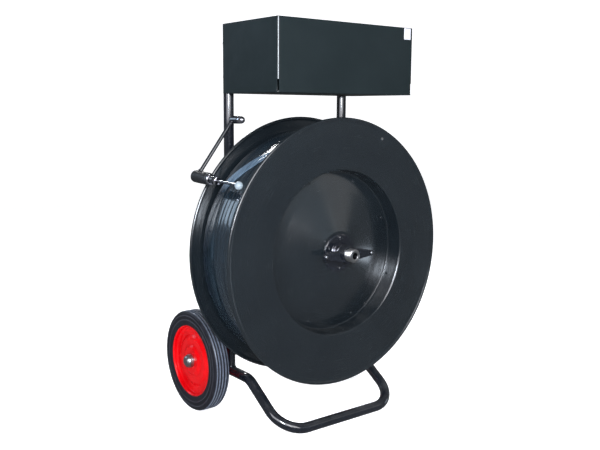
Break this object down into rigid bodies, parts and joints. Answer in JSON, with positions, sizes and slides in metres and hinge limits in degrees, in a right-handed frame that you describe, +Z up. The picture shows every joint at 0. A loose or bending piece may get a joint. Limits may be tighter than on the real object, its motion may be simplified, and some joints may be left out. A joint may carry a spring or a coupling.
{
  "type": "strap coil dispenser trolley",
  "caption": "Wheeled trolley that carries a coil of packing strap between two flanges, with a gravity brake, strap guide and open toolbox.",
  "frame": {"origin": "on the floor, under the middle of the overall box", "axes": "+Z up, -Y towards the front flange and the operator, +X to the operator's right"},
  "size_m": [0.65, 0.461, 0.962],
  "materials": {
    "black_enamel": "gloss black enamel",
    "toolbox_enamel": "satin black enamel",
    "flange_enamel": "semi-gloss black enamel",
    "black_plastic": "matt moulded",
    "zinc_steel": "zinc plated",
    "bright_chrome": "polished plating",
    "bronze": "turned",
    "label_white": "plain printed film",
    "core_board": "wound board",
    "strap_black": "embossed glossy strap",
    "brake_rubber": "worn matt rubber",
    "ball_white": "smooth",
    "tyre_rubber": "matt grooved tread",
    "rim_red": "gloss red enamel"
  },
  "bodies": {
    "frame": {"foot_tube": "black_enamel", "left_upright": "black_enamel", "right_upright": "black_enamel", "upper_crossbar": "black_enamel", "lower_crossbar": "black_enamel", "left_upright_plug": "black_plastic", "right_upright_plug": "black_plastic", "left_leg_plug": "black_plastic", "right_leg_plug": "black_plastic", "left_axle_plate": "black_enamel", "right_axle_plate": "black_enamel", "wheel_axle": "zinc_steel", "left_axle_spacer": "zinc_steel", "right_axle_spacer": "zinc_steel", "left_axle_cap": "zinc_steel", "right_axle_cap": "zinc_steel", "bearing_plate": "black_enamel", "bearing_housing": "black_enamel", "front_bearing": "bronze", "rear_bearing": "bronze", "toolbox": "toolbox_enamel", "toolbox_label": "label_white", "toolbox_bolts": "zinc_steel", "toolbox_nuts": "zinc_steel", "pivot_pin": "zinc_steel", "pivot_cap": "bright_chrome"},
    "reel": {"spindle": "zinc_steel", "rear_collar": "zinc_steel", "rear_hub": "black_enamel", "rear_flange": "flange_enamel", "rear_hub_bolts": "zinc_steel", "rear_hub_nuts": "zinc_steel", "coil_core": "core_board", "strap_coil": "strap_black"},
    "front_flange": {"front_flange": "flange_enamel", "front_bush": "bright_chrome", "hub_plate": "black_enamel", "hub_bolts": "zinc_steel", "hub_nuts": "zinc_steel", "flange_rivets": "zinc_steel", "rim_screw": "zinc_steel"},
    "wing_handle": {"wing_handle": "black_enamel", "wing_pins": "zinc_steel"},
    "brake_arm": {"arm_barrel": "black_enamel", "brake_arm": "black_enamel", "brake_block": "brake_rubber", "guide_rod": "zinc_steel", "guide_washer": "brake_rubber", "guide_ring": "bright_chrome", "guide_collar": "black_enamel", "guide_nut": "bright_chrome", "ball_end": "ball_white"},
    "left_wheel": {"left_tyre": "tyre_rubber", "left_rim": "rim_red", "left_hub": "zinc_steel"},
    "right_wheel": {"right_tyre": "tyre_rubber", "right_rim": "rim_red", "right_hub": "zinc_steel"}
  },
  "joints": [
    {"name": "reel_spin", "type": "hinge", "parent": "frame", "child": "reel", "pos_m": [0, 0.023, 0.421], "axis": [0, 1, 0], "continuous": true},
    {"name": "flange_slide", "type": "slide", "parent": "reel", "child": "front_flange", "axis": [0, -1, 0], "range_m": [0, 0.1]},
    {"name": "wing_turn", "type": "hinge", "parent": "front_flange", "child": "wing_handle", "pos_m": [0, -0.199, 0.421], "axis": [0, 1, 0], "continuous": true},
    {"name": "brake_pivot", "type": "hinge", "parent": "frame", "child": "brake_arm", "pos_m": [-0.18, 0.007, 0.738], "axis": [0, 1, 0], "range_deg": [0, 40]},
    {"name": "left_wheel_spin", "type": "hinge", "parent": "frame", "child": "left_wheel", "pos_m": [-0.24, 0.104, 0.128], "axis": [1, 0, 0], "continuous": true},
    {"name": "right_wheel_spin", "type": "hinge", "parent": "frame", "child": "right_wheel", "pos_m": [0.24, 0.104, 0.128], "axis": [1, 0, 0], "continuous": true}
  ]
}
